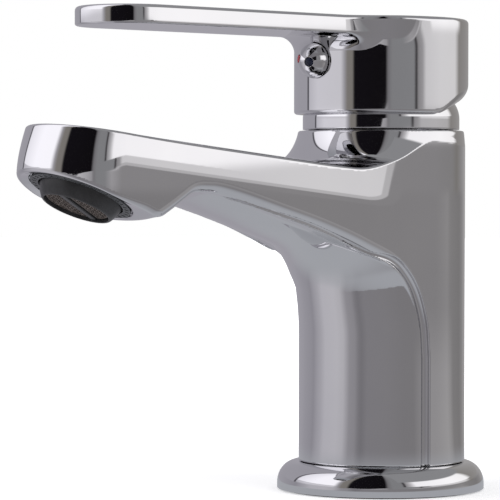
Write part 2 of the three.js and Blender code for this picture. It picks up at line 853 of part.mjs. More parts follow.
function leverHandle() {
  const cap = turned(
    [
      [0, capBottom],
      [capRadius, capBottom],
      [capRadius, capTop - capEdge],
      [capRadius - midEdgeShare * capEdge, capTop - midEdgeShare * capEdge],
      [capRadius - capEdge, capTop],
      [0, capTop],
    ],
    fineSides,
  );
  const cavity = rod(capInnerRadius, capBottom - overrun, capCeiling, fineSides);
  const hub = rod(hubRadius, hubBottom, capCeiling + overrun);
  const half = stemSquare / 2 + clearance;
  const square = box(-half, half, -half, half, hubBottom - overrun, stemTop + clearance);
  const screwBore = rodAlongY(screwRadius + clearance, -capRadius - overrun, 0, buttonHeight);
  const wedge = extrudedAcross(
    [
      [-reliefStart, capBottom - overrun],
      [-reliefStart, capBottom],
      [capRadius + overrun, capBottom + reliefSlope * (capRadius + overrun + reliefStart)],
      [capRadius + overrun, capBottom - overrun],
    ],
    capRadius + overrun,
  );
  const shell = cut(join(cap, bladeUnderside(0)), cavity);
  return cut(join(shell, bladeSolid(), hub), square, screwBore, wedge);
}

function setScrew() {
  const inner = -(stemSquare / 2 + clearance);
  const outer = inner - screwLength;
  const screw = rodAlongY(screwRadius, outer, inner, buttonHeight);
  return cut(screw, rodAlongY(screwSocketRadius, outer - overrun, outer + screwSocketDepth, buttonHeight, 6));
}

// The button faces -Y on the front of the cap, with its centre sunk a little into the cap.
function indexButton() {
  const centreY = -(capRadius - buttonSink);
  const ball = solid(new THREE.SphereGeometry(buttonRadius, buttonSides, buttonSides / 2));
  const dome = ball.translate([0, centreY, buttonHeight]);
  const cap = rod(capRadius + clearance, capBottom, capTop, fineSides);
  const peg = rodAlongY(screwRadius, centreY - buttonRadius / 2, centreY + pegLength, buttonHeight);
  const gap = clearance / 2;
  const holes = [-1, 1].map((side) => dotRod(side, dotRadius + gap, dotDepth + gap, overrun));
  const seated = cut(dome, cap, bladeUnderside(clearance));
  const shortPeg = cut(peg, rod(capInnerRadius, capBottom, capTop));
  return cut(join(seated, shortPeg), ...holes);
}

// A short rod on the button's surface, to one side of its front.
function dotRod(side, radius, depth, proud) {
  const length = depth + proud;
  const geometry = new THREE.CylinderGeometry(radius, radius, length, smallSides);
  geometry.translate(0, -(buttonRadius + proud - length / 2), 0);
  geometry.rotateZ(side * dotAngle);
  return solid(geometry.translate(0, -(capRadius - buttonSink), buttonHeight));
}

// Aerator pieces stand on the aerator axis, with zero at the spout's rim and +Z into the spout. The bore of the
// housing is straight above the ball's widest part, and below it closes in under the ball.
function aeratorHousing() {
  const outer = socketRadius - clearance;
  const faceOuter = recessRadius - aeratorFaceInset;
  const seat = ballRadius + clearance;
  const faceTop = recessDepth - clearance;
  const face = faceTop - aeratorFaceHeight;
  const top = socketDepth - washerHeight - 2 * clearance;
  const bowl = arc(0, ballSink, seat, 0, Math.asin((face - ballSink) / seat), 4);
  return turned(
    [
      [seat, top],
      ...bowl,
      [faceOuter, face],
      [faceOuter, faceTop],
      [outer, faceTop],
      [outer, top],
    ],
    fineSides,
  );
}

function aeratorWasher() {
  const outer = socketRadius - clearance;
  const top = socketDepth - clearance;
  return tube(outer - washerWidth, outer, top - washerHeight, top);
}

function swivelNozzle() {
  const mouth = Math.asin((nozzleReach + ballSink) / ballRadius);
  const top = Math.asin(nozzleTopAboveBall / ballRadius);
  const outside = arc(0, ballSink, ballRadius, -mouth, top, 7);
  const innerTop = ballRadius - 2 * nozzleWall;
  const mouthInner = ballRadius * Math.cos(mouth) - nozzleWall / 2;
  const shelf = mouthInner - nozzleWall;
  const screenTop = screenSink + screenThickness + clearance - nozzleReach;
  const shell = turned(
    [
      [mouthInner, -nozzleReach],
      ...outside,
      [innerTop, ballSink + nozzleTopAboveBall],
      [shelf, screenTop + nozzleWall],
      [shelf, screenTop],
      [mouthInner, screenTop],
    ],
    fineSides,
  );
  const half = barWidth / 2;
  const end = shelf + nozzleWall / 2;
  const barBottom = screenSink / 2 - nozzleReach;
  const bar = box(-half, half, -end, end, barBottom, barBottom + barHeight);
  return join(shell, turnedWithBar(bar));
}

// The bar and the screen halves stand a little off the fore-and-aft line.
function turnedWithBar(made) {
  return made.rotate([0, 0, THREE.MathUtils.radToDeg(barTurn)]);
}

// Half of the round outlet screen, to one side of the bar.
function outletScreen(side) {
  const mouth = Math.asin((nozzleReach + ballSink) / ballRadius);
  const radius = ballRadius * Math.cos(mouth) - nozzleWall / 2 - clearance;
  const bottom = screenSink - nozzleReach;
  const disc = rod(radius, bottom, bottom + screenThickness);
  const near = barWidth / 2 + clearance;
  const [x0, x1] = side > 0 ? [near, ballRadius] : [-ballRadius, -near];
  const keep = box(x0, x1, -ballRadius, ballRadius, bottom - overrun, bottom + overrun);
  return turnedWithBar(disc.intersect(keep));
}

function jetPlate() {
  const bottom = ballSink + nozzleTopAboveBall - 2 * plateThickness;
  const radius = ballRadius - plateInset;
  const plate = rod(radius, bottom, bottom + plateThickness);
  const holes = Array.from({ length: plateHoles }, (_, i) => {
    const a = (2 * Math.PI * i) / plateHoles;
    const x = plateHoleRing * Math.cos(a);
    const y = plateHoleRing * Math.sin(a);
    return rod(plateHoleRadius, bottom - overrun, bottom + overrun, smallSides / 2, x, y);
  });
  return cut(plate, ...holes);
}

const chrome = { color: 0xd6d6d8, roughness: 0.06, metalness: 1 };
const brass = { color: 0xc6a15a, roughness: 0.35, metalness: 1 };
const steel = { color: 0xb4b6b8, roughness: 0.3, metalness: 1 };
const ceramic = { color: 0xf1efe9, roughness: 0.2, metalness: 0 };
const whitePlastic = { color: 0xe4e4e0, roughness: 0.4, metalness: 0 };
const greyPlastic = { color: 0x8f9296, roughness: 0.45, metalness: 0 };
const blackPlastic = { color: 0x26272a, roughness: 0.4, metalness: 0 };
const rubber = { color: 0x1b1b1c, roughness: 0.75, metalness: 0 };
const screenWire = { color: 0x6d645c, roughness: 0.5, metalness: 0.6 };
const red = { color: 0xb3202a, roughness: 0.35, metalness: 0 };
const blue = { color: 0x10182e, roughness: 0.35, metalness: 0 };

function node(name, made, material) {
  const built = new THREE.Mesh(geometryOf(made), new THREE.MeshStandardMaterial(material));
  built.name = name;
  return built;
}

const mixer = new THREE.Group();
const [hotPort, coldPort, outletPort] = portPlaces();

mixer.add(
  node("base_gasket", baseGasket(), rubber),
  node("base_flange", baseFlange(), chrome),
  node("body_casting", bodyCasting(), chrome),
  node("trim_dome", trimDome(), chrome),
  node("cartridge_base", cartridgeBase(), whitePlastic),
  node("inlet_seal_hot", portSeal(hotPort), rubber),
  node("inlet_seal_cold", portSeal(coldPort), rubber),
  node("outlet_seal", portSeal(outletPort), rubber),
  node("fixed_disc", fixedDisc(), ceramic),
  node("moving_disc", movingDisc(), ceramic),
  node("disc_carrier", discCarrier(), whitePlastic),
  node("cartridge_housing", cartridgeHousing(), whitePlastic),
  node("housing_o_ring", housingRing(), rubber),
  node("cartridge_yoke", cartridgeYoke(), whitePlastic),
  node("pivot_pin", pivotPin(), steel),
  node("lever_stem", leverStem(), brass),
  node("cartridge_nut", cartridgeNut(), brass),
  node("lever_handle", leverHandle(), chrome),
  node("set_screw", setScrew(), steel),
  node("index_button", indexButton(), chrome),
  node("hot_dot", dotRod(-1, dotRadius, dotDepth, 0), red),
  node("cold_dot", dotRod(1, dotRadius, dotDepth, 0), blue),
  node("aerator_gasket", atAerator(aeratorWasher()), rubber),
  node("aerator_housing", atAerator(aeratorHousing()), greyPlastic),
  node("swivel_nozzle", atAerator(swivelNozzle()), blackPlastic),
  node("jet_plate", atAerator(jetPlate()), greyPlastic),
  node("outlet_screen_left", atAerator(outletScreen(-1)), screenWire),
  node("outlet_screen_right", atAerator(outletScreen(1)), screenWire),
);

export default mixer;
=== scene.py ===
"""Looks of the basin mixer: skins, nozzle details, materials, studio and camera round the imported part."""

import json
import math

import bpy
import numpy as np
from mathutils import Matrix, Vector


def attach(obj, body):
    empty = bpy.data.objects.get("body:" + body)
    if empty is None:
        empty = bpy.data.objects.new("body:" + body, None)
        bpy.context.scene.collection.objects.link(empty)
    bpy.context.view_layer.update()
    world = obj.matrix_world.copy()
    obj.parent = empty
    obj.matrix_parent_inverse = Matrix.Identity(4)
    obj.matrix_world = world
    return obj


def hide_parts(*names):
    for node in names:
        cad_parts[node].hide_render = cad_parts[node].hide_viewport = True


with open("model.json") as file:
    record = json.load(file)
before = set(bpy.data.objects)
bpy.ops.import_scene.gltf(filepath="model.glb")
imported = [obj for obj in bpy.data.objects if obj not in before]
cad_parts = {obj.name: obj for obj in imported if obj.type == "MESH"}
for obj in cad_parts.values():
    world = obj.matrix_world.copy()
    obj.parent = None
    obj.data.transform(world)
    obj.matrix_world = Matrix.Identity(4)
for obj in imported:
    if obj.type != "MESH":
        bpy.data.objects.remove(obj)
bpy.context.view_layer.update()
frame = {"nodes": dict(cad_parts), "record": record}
nodes = frame["nodes"]

# Sizes in millimetres, as in the CAD part
MM = 0.001
GAP = 0.3

# Column
BODY_R, BODY_BOTTOM, BODY_TOP = 23.0, 7.95, 98.0
SHOULDER, SHOULDER_BEND = 91.5, 0.0095
CHAMBER_R, CHAMBER_FLOOR, HOSE_R, HOSE_TOP = 17.7, 66.0, 18.6, 48.0
FOOT_EDGE, BODY_EDGE, HOLE_EDGE = 0.4, 0.5, 0.35
STUD_R, STUD_Y, STUD_TOP = 4.0, 13.0, 60.0
PORT_X, PORT_Y, SOCKET_WIDE, SOCKET_TOP, INLET_R, INLET_TOP = 6.0, 4.0, 5.0, 57.0, 2.6, 67.0

# Spout. Its top rises from the neck to the tip, and its sides lean in above the middle
TIP_R, TIP_Y = 17.0, -101.3
TOP_AT_NECK, NECK_Y, TOP_SLOPE = 88.9, -37.7, math.tan(math.radians(6.3))
TIP_RISE_Y, TIP_RISE = -88.0, 0.0011
NECK_FILLET = 12.0
LEAN_START, LEAN_BEND, LEAN_KNEE, LEAN_SLOPE, KNEE_SOFT = 85.9, 0.0195, 86.2, 0.03, 0.3
FLANK_Y, FLANK_Z, FLANK_SLOPE = -25.0, 77.8, 0.125
DRAFT_BEND, DRAFT_HEIGHT, DRAFT_SLOPE = 0.0105, 3.5, 0.0367
# Edge of the spout's top at the column, and how much it gains along the spout and loses at the tip
EDGE_AT_COLUMN, EDGE_GAIN, EDGE_LOSS = 0.05, 1.1, 0.45
# Each row is a place along the spout and how far the belly stands in from the side there
FRONT_INSET = 0.6
INSETS = [
    (10, FRONT_INSET), (-14, FRONT_INSET), (-18, 1.2), (-23, 3.0), (-27, 3.4),
    (-32, 2.8), (-40, 2.4), (-50, 2.5), (-60, 3.2), (-90, 3.2),
]
ROLL_R, BELLY_EDGE, CREASE_FILLET = 3.0, 0.8, 0.4
GROOVE_R, GROOVE_DEPTH, GROOVE_EDGE = 1.05, 0.4, 0.35
BELLY_LEAST_R, BELLY_COVER, BELLY_TOP = 22.0, 4.0, 92.0

# Outlet
RIM = np.array([0.0, -102.6, 80.25])
TILT = math.radians(24.4)
RIM_BACK, LIP_START, LIP_SLOPE = -74.0, 14.2, 0.4
RIM_EDGE, RIM_EDGE_LOSS, RIM_CLEAR = 1.6, 0.5, 6.0
RECESS_R, RECESS_DEPTH, SOCKET_R, SOCKET_DEPTH = 13.8, 1.2, 13.0, 8.4
BALL_R, BALL_SINK, REACH, BAR_TURN = 11.3, 3.2, 3.5, math.radians(17)
BALL_TOP, MOUTH_R, SHELF_R, SHELF_Z, FUNNEL_Z, FUNNEL_SLOPE = 2.2, 8.55, 7.45, -1.8, -0.7, 0.27
BAR_HALF, BAR_END, BAR_LOW, BAR_HIGH = 0.9, 8.0, -3.05, -0.65
BALL_EDGE, MOUTH_EDGE = 0.3, 0.2
SCREEN_R, SCREEN_Z, SCREEN_EDGE, SCREEN_RIM, SCREEN_HALF = 8.2, -2.35, 1.25, 0.35, 0.22
WIRE_PITCH, WIRE_R, WIRE_WAVE = 0.95, 0.14, 0.22
FACE_R, THREAD_R, FACE_LOW, FACE_HIGH, HOUSING_TOP, SEAT_EDGE = 13.3, 12.7, -0.1, 0.9, 6.8, 0.2
NOTCHES, NOTCH_R, NOTCH_HALF, NOTCH_TOP = 36, 12.3, 0.5, 0.15

# Lever, and the button on the front of its cap
CAP_R, CAP_IN, CAP_BOTTOM, CAP_TOP, CAP_CEILING = 23.8, 21.9, 102.5, 128.2, 123.0
FLARE_START, FLARE, FLARE_POWER = 119.5, 0.022, 1.7
RELIEF_Y, RELIEF_SLOPE = 0.5, 0.27
BLADE_HALF, BLADE_REACH, BLADE_BOTTOM = 13.6, 101.0, 123.3
BLADE_EDGE, BLADE_FILLET, TOP_EDGE, CAP_EDGE, CAP_EDGE_GAIN, CAP_HOLE_EDGE = 0.55, 4.6, 1.1, 0.8, 2.8, 0.4
HUB_R, HUB_BOTTOM, SQUARE_HALF, SCREW_BORE = 8.0, 115.0, 4.1, 2.7
BUTTON = np.array([0.0, -24.2, 116.5])
BUTTON_R, BUTTON_BACK, PEG_R, PEG_FRONT, PEG_BACK = 4.75, -23.0, 2.4, -25.2, -21.9
DOT_R, DOT_DEPTH, DOT_PROUD, DOT_GAP, DOT_EDGE, DOT_HOLE_EDGE = 1.1, 0.8, 0.02, 0.12, 0.15, 0.1
DOT_TURN, DOT_ROLL = math.radians(28), math.radians(14)

# Guide lines of the belly in the plane of symmetry, from the column to the tip: its top edge and its keel
GUIDE_COUNT = 900
CREASE = [
    (-5.9, 37.2), (-6.7, 46.1), (-9.2, 53.9), (-12.9, 59.2), (-17.25, 62.7), (-24.0, 65.7), (-31.6, 68.8),
    (-41.4, 72.2), (-52.6, 75.5), (-63.8, 78.8), (-71.6, 80.7), (-75.8, 81.1), (-79.5, 80.9), (-82.6, 79.1),
    (-85.8, 77.0), (-90.0, 74.5), (-92.8, 72.9),
]
KEEL = [
    (-22.4, 37.2), (-22.5, 45.1), (-23.3, 51.9), (-24.3, 57.1), (-26.7, 61.4), (-30.9, 64.8), (-36.2, 67.3),
    (-44.7, 70.2), (-54.6, 73.5), (-65.1, 76.6), (-72.4, 78.5), (-76.2, 79.3), (-79.3, 78.6), (-81.6, 77.3),
    (-84.3, 75.4), (-87.8, 73.5), (-90.4, 72.0),
]


# ---------------------------------------------------------------- distance fields


def both(a, b, r):
    """Intersection with its edge rounded to radius r."""
    return np.minimum(-r, np.maximum(a, b)) + np.hypot(np.maximum(r + a, 0), np.maximum(r + b, 0))


def either(a, b, r):
    """Union with its inner corner filled to radius r."""
    return np.maximum(r, np.minimum(a, b)) - np.hypot(np.maximum(r - a, 0), np.maximum(r - b, 0))


def spline(points, count):
    """A Catmull-Rom curve through points, sampled at even steps."""
    p = np.array(points, float)
    p = np.vstack([2 * p[0] - p[1], p, 2 * p[-1] - p[-2]])
    out = []
    t = np.linspace(0, 1, 40, endpoint=False)[:, None]
    for i in range(1, len(p) - 2):
        a, b, c, d = p[i - 1], p[i], p[i + 1], p[i + 2]
        square = (2 * a - 5 * b + 4 * c - d) * t**2
        cube = (3 * b - a - 3 * c + d) * t**3
        out.append(0.5 * (2 * b + (c - a) * t + square + cube))
    out = np.vstack(out + [p[-2:-1]])
    s = np.concatenate([[0], np.cumsum(np.hypot(*np.diff(out, axis=0).T))])
    q = np.linspace(0, s[-1], count)
    return np.column_stack([np.interp(q, s, out[:, 0]), np.interp(q, s, out[:, 1])])


class Table:
    """A smooth field over the plane of symmetry, held at the points of a grid."""

    def __init__(self, values, y0, z0, step):
        self.v, self.y0, self.z0, self.step = values, y0, z0, step

    def __call__(self, y, z):
        u = (y - self.y0) / self.step
        w = (z - self.z0) / self.step
        u, w = np.broadcast_arrays(u, w)
        i = np.clip(np.floor(u).astype(int), 1, self.v.shape[0] - 3)
        j = np.clip(np.floor(w).astype(int), 1, self.v.shape[1] - 3)
        a, b = u - i, w - j
        return sum(
            cu * sum(cw * self.v[i + m, j + n] for n, cw in zip((-1, 0, 1, 2), cubic(b)))
            for m, cu in zip((-1, 0, 1, 2), cubic(a))
        )


def cubic(t):
    """Weights of four neighbours for a place t between the middle two."""
    return (
        -0.5 * t + t**2 - 0.5 * t**3,
        1 - 2.5 * t**2 + 1.5 * t**3,
        0.5 * t + 2 * t**2 - 1.5 * t**3,
        -0.5 * t**2 + 0.5 * t**3,
    )


def guide_fields(points, extras=()):
    """Signed distance to a guide line, positive in front of and under it, and values carried along it."""
    below, beyond = 60, 100
    line = spline(points, GUIDE_COUNT)
    foot = np.column_stack([np.full(below, line[0, 0]), np.linspace(-10, line[0, 1], below, endpoint=False)])
    last = line[-1] - line[-2]
    ahead = line[-1] + last / np.hypot(*last) * np.linspace(0.5, 60, beyond)[:, None]
    whole = np.vstack([foot, line, ahead])
    step = 0.5
    y = np.arange(-130, 34, step)
    z = np.arange(-4, 112, step)
    gy, gz = np.meshgrid(y, z, indexing="ij")
    flat = np.column_stack([gy.ravel(), gz.ravel()])
    near = np.empty(len(flat), int)
    for k in range(0, len(flat), 4000):
        part = flat[k : k + 4000]
        d2 = (part[:, None, 0] - whole[None, :, 0]) ** 2 + (part[:, None, 1] - whole[None, :, 1]) ** 2
        near[k : k + 4000] = d2.argmin(1)
    along = np.gradient(whole, axis=0)
    along /= np.hypot(*along.T)[:, None]
    gap = flat - whole[near]
    t = along[near]
    ahead_by = (gap * t).sum(1)
    side = gap[:, 0] * t[:, 1] - gap[:, 1] * t[:, 0]
    far = np.hypot(gap[:, 0], gap[:, 1])
    signed = np.where(np.abs(ahead_by) < 0.6, side, np.sign(side) * far)
    fields = [Table(-signed.reshape(gy.shape), y[0], z[0], step)]
    for extra in extras:
        values = np.concatenate([np.full(below, extra[0]), extra, np.full(beyond, extra[-1])])
        grid = values[near].reshape(gy.shape)
        # The nearest points jump across the middle of bends, so the values are smoothed
        for _ in range(6):
            beside = np.roll(grid, 1, 0) + np.roll(grid, -1, 0) + np.roll(grid, 1, 1) + np.roll(grid, -1, 1)
            grid = (beside + 2 * grid) / 6
        fields.append(Table(grid, y[0], z[0], step))
    return fields


def capsule(x, y, r0, r1, y1):
    """Plan outline round a circle r0 at the axis and a circle r1 at y1, with tangent sides."""
    length = -y1
    s = (r0 - r1) / length
    c = math.sqrt(1 - s * s)
    px, py = np.abs(x), -y
    # Distance along the tangent side
    k = c * py - s * px
    d_side = c * px + s * py - r0
    d0 = np.hypot(px, py) - r0
    d1 = np.hypot(px, py - length) - r1
    return np.where(k < 0, d0, np.where(k > c * length, d1, d_side))


def build(name, f, low, high, step, material, place=None):
    """The surface where f is zero, as an even mesh of quads with the field's own normals."""
    axes = [np.arange(low[i], high[i] + step, step) for i in range(3)]
    x, y, z = axes[0][:, None, None], axes[1][None, :, None], axes[2][None, None, :]
    v = f(x, y, z).astype(np.float32)
    shape = np.array(v.shape) - 1
    inside = v < 0
    ids, points, quads = [], [], []
    # Each grid edge that crosses the surface gives a quad between the four cells round it
    for axis in range(3):
        a = np.take(inside, range(v.shape[axis] - 1), axis)
        b = np.take(inside, range(1, v.shape[axis]), axis)
        at = np.array(np.nonzero(a != b)).T
        o1, o2 = [(1, 2), (2, 0), (0, 1)][axis]
        ok = (at[:, o1] > 0) & (at[:, o2] > 0) & (at[:, o1] < v.shape[o1] - 1) & (at[:, o2] < v.shape[o2] - 1)
        at = at[ok]
        nxt = at.copy()
        nxt[:, axis] += 1
        va, vb = v[tuple(at.T)], v[tuple(nxt.T)]
        p = at.astype(float)
        p[:, axis] += va / (va - vb)
        ring = []
        for d1, d2 in ((1, 1), (0, 1), (0, 0), (1, 0)):
            cell = at.copy()
            cell[:, o1] -= d1
            cell[:, o2] -= d2
            ids_here = (cell[:, 0] * shape[1] + cell[:, 1]) * shape[2] + cell[:, 2]
            ring.append(ids_here)
            ids.append(ids_here)
            points.append(p)
        quad = np.column_stack(ring)
        flip = ~inside[tuple(at.T)]
        quad[flip] = quad[flip][:, ::-1]
        quads.append(quad)
    ids, points, quads = np.concatenate(ids), np.vstack(points), np.vstack(quads)
    # Each cell's point is the mean of the crossings on its edges
    keys, inverse = np.unique(ids, return_inverse=True)
    count = np.bincount(inverse)
    co = np.column_stack([np.bincount(inverse, points[:, k]) / count for k in range(3)])
    co = co * step + np.array(low)
    faces = np.searchsorted(keys, quads)
    # A few careful steps move the points onto the surface
    for _ in range(5):
        d, g = f(*co.T), slope(f, co)
        move = (d / np.maximum((g**2).sum(1), 0.05))[:, None] * g
        far = np.linalg.norm(move, axis=1, keepdims=True)
        co = co - move * np.minimum(1, 0.4 * step / np.maximum(far, 1e-9))
    normals = slope(f, co)
    normals /= np.maximum(np.linalg.norm(normals, axis=1, keepdims=True), 1e-9)
    if place is not None:
        normals = place(co + normals) - place(co)
        co = place(co)
    return mesh_piece(name, co, faces, material, normals)


def slope(f, co, h=0.03):
    """The gradient of a field at points."""
    x, y, z = co.T
    return np.column_stack(
        [
            (f(x + h, y, z) - f(x - h, y, z)) / (2 * h),
            (f(x, y + h, z) - f(x, y - h, z)) / (2 * h),
            (f(x, y, z + h) - f(x, y, z - h)) / (2 * h),
        ]
    )


def mesh_piece(name, co, faces, material, normals=None):
    """An object in the scene from points in millimetres."""
    mesh = bpy.data.meshes.new(name)
    mesh.from_pydata((np.asarray(co, float) * MM).tolist(), [], [list(map(int, q)) for q in faces])
    mesh.update()
    piece = bpy.data.objects.new(name, mesh)
    bpy.context.scene.collection.objects.link(piece)
    mesh.materials.append(material)
    mesh.shade_smooth()
    if normals is not None:
        mesh.normals_split_custom_set_from_vertices(normals.tolist())
    return piece


# ---------------------------------------------------------------- the casting


def top_height(y):
    """The top of the spout, which rises a little more towards the tip."""
    return TOP_AT_NECK + TOP_SLOPE * (NECK_Y - y) + TIP_RISE * np.maximum(TIP_RISE_Y - y, 0) ** 2


crease_line = spline(CREASE, GUIDE_COUNT)
keel_line = spline(KEEL, GUIDE_COUNT)
crease_field = guide_fields(CREASE)[0]


def inset_at(y):
    """How far the belly stands in from the sides of the spout, by its distance from the column."""
    places, values = zip(*reversed(INSETS))
    return sum(np.interp(y + shift, places, values) for shift in (-2, -1, 0, 1, 2)) / 5


def belly_radii():
    """Radius of the belly's cross-section at each point of the keel."""
    depth = np.hypot(*(crease_line - keel_line).T)
    sine = (BODY_R - TIP_R) / -TIP_Y
    y = crease_line[:, 0]
    half = BODY_R / math.sqrt(1 - sine**2) + y * sine - inset_at(y)
    column = np.sqrt(np.maximum((BODY_R - FRONT_INSET) ** 2 - y**2, 0))
    half = np.where(y > -BODY_R / 2, np.minimum(half, column), half)
    radius = (depth**2 + half**2) / (2 * depth)
    kernel = np.ones(31) / 31
    return np.convolve(np.pad(radius, 15, mode="edge"), kernel, mode="valid")


keel_field, belly_radius = guide_fields(KEEL, [belly_radii()])


def smooth_step(x, low, high):
    """0 at low and 1 at high, with an even start and end."""
    t = np.clip((x - low) / (high - low), 0, 1)
    return t * t * (3 - 2 * t)


def at_rim(x, y, z):
    """Distance out of the rim plane, and distance from the aerator axis."""
    out = -math.sin(TILT) * (y - RIM[1]) - math.cos(TILT) * (z - RIM[2])
    across = math.cos(TILT) * (y - RIM[1]) - math.sin(TILT) * (z - RIM[2])
    return out, np.hypot(x, across)


def casting(x, y, z):
    """The column with the spout: its top, sides, rolled crease and belly, and the holes in it."""
    r = np.hypot(x, y)
    plan = capsule(x, y, BODY_R, TIP_R, TIP_Y)
    front = np.clip(-(y - TIP_Y) / TIP_R, 0, 1)
    knee = z - LEAN_KNEE
    lean = LEAN_BEND * np.maximum(z - LEAN_START, 0) ** 2 + LEAN_SLOPE * (knee + np.hypot(knee, KNEE_SOFT))
    above = np.maximum(z - FLANK_Z - FLANK_SLOPE * (FLANK_Y - y), 0)
    draft = DRAFT_BEND * above * np.minimum(above, DRAFT_HEIGHT)
    draft = draft + DRAFT_SLOPE * np.maximum(above - DRAFT_HEIGHT, 0)
    draft = draft * smooth_step(-y, 12, 25) * (1 - front) ** 2
    plan = plan + lean * front + draft
    round_column = r - BODY_R + SHOULDER_BEND * np.maximum(z - SHOULDER, 0) ** 2
    top = (z - top_height(y)) * math.cos(math.atan(TOP_SLOPE))
    neck = either(round_column, top, NECK_FILLET)
    top_edge = EDGE_AT_COLUMN + EDGE_GAIN * smooth_step(-y, 8, 40) - EDGE_LOSS * smooth_step(-y, 70, 108)
    upper = both(neck, plan, top_edge)
    upper = np.minimum(upper, round_column)
    # The level top of the column is lifted away where the spout rises past it
    upper = both(upper, z - BODY_TOP - 5 * smooth_step(-y, 50, 60), BODY_EDGE)
    edge = crease_field(y, z)
    upper = both(upper, edge, ROLL_R)
    sag_r = np.maximum(belly_radius(y, z), BELLY_LEAST_R)
    sag = sag_r - np.sqrt(np.maximum(sag_r**2 - x**2, 1.0))
    belly = keel_field(y, z) + sag
    inset = inset_at(y)
    belly = both(belly, plan + inset, BELLY_EDGE)
    belly = np.maximum(belly, top + BELLY_COVER)
    belly = np.maximum(belly, z - BELLY_TOP)
    body = either(upper, belly, CREASE_FILLET)
    # A fine groove where the belly comes out of the rolled edge, which ends before the heel
    sheet = np.sqrt(np.maximum(ROLL_R**2 - np.maximum(ROLL_R - inset, 0) ** 2, 0)) - ROLL_R
    groove = np.hypot(edge - sheet + GROOVE_DEPTH, plan + inset) - GROOVE_R + 1.2 * smooth_step(-y, 64, 72)
    body = both(body, -groove, GROOVE_EDGE)
    out, around = at_rim(x, y, z)
    at_front = smooth_step(-y, 94, 106)
    lip = LIP_SLOPE * np.maximum(around - LIP_START, 0) * at_front
    under = np.minimum(out - lip, RIM_BACK - y)
    body = both(body, under, RIM_EDGE - RIM_EDGE_LOSS * at_front)
    body = both(body, BODY_BOTTOM - z, FOOT_EDGE)
    recess = np.maximum(around - RECESS_R, -out - RECESS_DEPTH)
    socket = np.maximum(around - SOCKET_R, -out - SOCKET_DEPTH)
    hole = np.maximum(np.minimum(recess, socket), out - RIM_CLEAR)
    chamber = np.maximum(r - CHAMBER_R, CHAMBER_FLOOR - z)
    hose = np.maximum(r - HOSE_R, z - HOSE_TOP)
    hose = np.minimum(hose, np.maximum(np.hypot(x, y - STUD_Y) - STUD_R, z - STUD_TOP))
    for side in (-PORT_X, PORT_X):
        port = np.hypot(x - side, y - PORT_Y)
        hose = np.minimum(hose, np.maximum(port - SOCKET_WIDE, z - SOCKET_TOP))
        hose = np.minimum(hose, np.maximum(port - INLET_R, z - INLET_TOP))
    hole = np.minimum(np.minimum(hole, chamber), hose)
    return both(body, -hole, HOLE_EDGE)


# ---------------------------------------------------------------- the lever


def handle(x, y, z):
    """The cap with the blade, hollow from below, with a square hub for the stem."""
    r = np.hypot(x, y)
    flare = FLARE * np.maximum(z - FLARE_START, 0) ** FLARE_POWER
    cap = r - CAP_R - flare * smooth_step(-y, 3, 13)
    blade = np.hypot(x, np.maximum(-y - (BLADE_REACH - BLADE_HALF), 0) + np.maximum(y, 0)) - BLADE_HALF
    blade = both(blade, BLADE_BOTTOM - z, BLADE_EDGE)
    whole = either(cap, blade, BLADE_FILLET)
    whole = both(whole, z - CAP_TOP, TOP_EDGE)
    # The cap's lower edge rises behind the axis, so that the back stays clear of the body when it lifts
    relief = (CAP_BOTTOM + RELIEF_SLOPE * (y - RELIEF_Y) - z) / math.hypot(1, RELIEF_SLOPE)
    edge = CAP_EDGE + CAP_EDGE_GAIN * smooth_step(y, -4, 10)
    whole = both(whole, np.maximum(CAP_BOTTOM - z, relief), edge)
    hollow = np.maximum(r - CAP_IN, z - CAP_CEILING)
    hub = np.maximum(r - HUB_R, HUB_BOTTOM - z)
    square = np.maximum(np.maximum(np.abs(x), np.abs(y)) - SQUARE_HALF, z - CAP_CEILING)
    bore = np.maximum(np.hypot(x, z - BUTTON[2]) - SCREW_BORE, y)
    hollow = np.maximum(hollow, -hub)
    hollow = np.minimum(np.minimum(hollow, square), bore)
    return both(whole, -hollow, CAP_HOLE_EDGE)


# ---------------------------------------------------------------- turned pieces


def arc(cx, cy, r, start, stop, steps):
    """Points of a circle's arc, for a profile."""
    a = np.linspace(start, stop, steps + 1)
    return [(cx + r * math.cos(t), cy + r * math.sin(t)) for t in a]


def turned(name, profile, material, segments=160, sharp=28):
    """A closed profile of (radius, height) turned about Z."""
    n = len(profile)
    a = np.linspace(0, 2 * math.pi, segments, endpoint=False)
    co = [(r * math.cos(t), r * math.sin(t), z) for t in a for r, z in profile]
    faces = []
    for k in range(segments):
        m = (k + 1) % segments
        for i in range(n):
            j = (i + 1) % n
            faces.append((k * n + i, m * n + i, m * n + j, k * n + j))
    piece = mesh_piece(name, co, faces, material)
    piece.data.set_sharp_from_angle(angle=math.radians(sharp))
    return piece


def to_aerator(co):
    """From the aerator's own axis, up into the spout, to its place in the spout."""
    c, s = math.cos(-TILT), math.sin(-TILT)
    x, y, z = np.asarray(co, float).T
    return np.column_stack([x, y * c - z * s + RIM[1], y * s + z * c + RIM[2]])


# ---------------------------------------------------------------- materials


